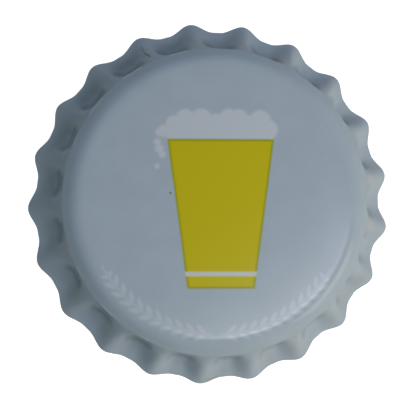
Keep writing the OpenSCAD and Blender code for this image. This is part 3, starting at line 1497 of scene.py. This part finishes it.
@dataclass(frozen=True)
class StudioPaper:
    """White background paper, which shows white and keeps the cap's soft shadow.

    Attributes:
        sheet: Colour of the paper.
        roughness: Its roughness.
        lift: How much white is added to it where the camera or a reflection sees it.
    """

    sheet: str = "#AEAEAE"
    roughness: float = 0.9
    lift: float = 0.8

    def build(self) -> Material:
        """Make the material.

        Returns:
            The material.
        """
        material = bpy.data.materials.new("background_paper")
        material.use_nodes = True
        tree = material.node_tree
        shader = tree.nodes["Principled BSDF"]
        set_inputs(shader, {"Base Color": linear(self.sheet), "Roughness": self.roughness})
        lift = add_node(tree, MATH, {"operation": "MULTIPLY"}, {0: seen_rays(tree), 1: self.lift})
        glow = add_node(tree, "ShaderNodeEmission", links={"Strength": lift})
        both = add_node(tree, "ShaderNodeAddShader", links={0: shader, 1: glow})
        set_inputs(tree.nodes["Material Output"], {"Surface": both})
        return material


@dataclass
class Studio:
    """The floor, the lamps, the world and the camera.

    Attributes:
        lamps: The soft boxes.
        ambient: Colour of the room's own light.
        ambient_level: Strength of the room's own light.
        view_tilt: How far the camera leans from straight down, in degrees.
        view_azimuth: Direction in which it leans, in degrees.
        view_distance: Its distance, in mm.
        frame_width: Width that the frame spans at that distance, in mm.
        frame_pixels: Width and height of the frame, in pixels.
        axis_pixel: Where the cap's axis meets the floor in the frame, in pixels.
        sensor: Width of the camera's sensor, in mm.
        nearest: Nearest distance that the camera shows, in metres.
        floor_half: Half the side of the paper, in metres.
    """

    lamps: tuple[Lamp, ...] = (
        Lamp("key_box", 330.0, 28.0, 0.2, 0.10, 0.269, "#FFEDC9"),
        Lamp("near_box", 300.0, 73.0, 0.6, 0.12, 0.655, "#FFFDF1"),
        Lamp("top_box", 324.0, 70.0, 0.6, 0.12, 0.720, "#F5F3FF"),
        Lamp("side_box", 345.0, 67.0, 0.6, 0.12, 0.725, "#EEECFF"),
        Lamp("fill_box", 90.0, 44.0, 0.6, 0.40, 0.36, "#BBC2FF"),
    )
    ambient: str = "#E2FFF3"
    ambient_level: float = 0.268
    view_tilt: float = 8.5
    view_azimuth: float = 195.0
    view_distance: float = 280.0
    frame_width: float = 36.925
    frame_pixels: tuple[int, int] = (416, 412)
    axis_pixel: tuple[float, float] = (208.14, 204.09)
    sensor: float = 36.0
    nearest: float = 0.01
    floor_half: float = 1.5

    def lay_floor(self) -> Object:
        """Lay a flat square of paper under the cap.

        Returns:
            The floor.
        """
        mesh = bpy.data.meshes.new("paper_floor")
        half = self.floor_half
        corners = [(-half, -half, 0), (half, -half, 0), (half, half, 0), (-half, half, 0)]
        mesh.from_pydata(corners, [], [(0, 1, 2, 3)])
        mesh.materials.append(StudioPaper().build())
        floor = bpy.data.objects.new("paper_floor", mesh)
        bpy.context.scene.collection.objects.link(floor)
        return floor

    def light_world(self) -> World:
        """Fill the room with a weak light, and show white wherever the world itself is seen.

        Returns:
            The world.
        """
        world = bpy.data.worlds.new("studio")
        bpy.context.scene.world = world
        world.use_nodes = True
        tree = world.node_tree
        tree.nodes.clear()
        light = {"Color": linear(self.ambient), "Strength": self.ambient_level}
        room = add_node(tree, "ShaderNodeBackground", links=light)
        white = add_node(tree, "ShaderNodeBackground", links={"Color": linear("#FFFFFF"), "Strength": 1.0})
        mix = add_node(tree, "ShaderNodeMixShader", links={0: seen_rays(tree), 1: room, 2: white})
        add_node(tree, "ShaderNodeOutputWorld", links={"Surface": mix})
        return world

    def set_camera(self) -> Object:
        """Set the camera over the cap, so that the axis meets the floor at its pixel.

        Returns:
            The camera.
        """
        back = direction(self.view_azimuth, 90 - self.view_tilt)
        right = (-back).cross(Vector((0, 1, 0))).normalized()
        up = right.cross(-back)
        wide, high = self.frame_pixels
        scale = self.frame_width / wide
        axis_x, axis_y = self.axis_pixel
        aim = right * (wide / 2 - axis_x) * scale + up * (axis_y - high / 2) * scale
        lens = bpy.data.cameras.new("camera")
        lens.sensor_width = self.sensor
        lens.lens = self.sensor * self.view_distance / self.frame_width
        lens.clip_start = self.nearest
        camera = bpy.data.objects.new("camera", lens)
        bpy.context.scene.collection.objects.link(camera)
        turn = Matrix((right, up, back)).transposed().to_4x4()
        camera.matrix_world = Matrix.Translation((aim + back * self.view_distance) * MM) @ turn
        bpy.context.scene.camera = camera
        return camera

    def build(self) -> None:
        """Set up the whole studio."""
        self.set_camera()
        self.lay_floor()
        self.light_world()
        for lamp in self.lamps:
            lamp.build()
        view = bpy.context.scene.view_settings
        view.view_transform = "Standard"
        log.info("studio: %d lamps", len(self.lamps))


def main() -> None:
    """Build the cap and its studio."""
    logging.basicConfig(level=logging.INFO, format="%(name)s %(message)s")
    Studio().build()
    shell = CrownShell()
    coats = {
        Coat.PRINTED: RollerCoatedTinplate().build(),
        Coat.INSIDE: ClearLacqueredTinplate().build(),
        Coat.SHEARED: ShearedSteel().build(),
    }
    shell.build(coats)
    SealLiner(shell).build(SweepTree(), MouldedLinerCompound().build())
    log.info("sizes written")


if __name__ == "__main__":
    main()
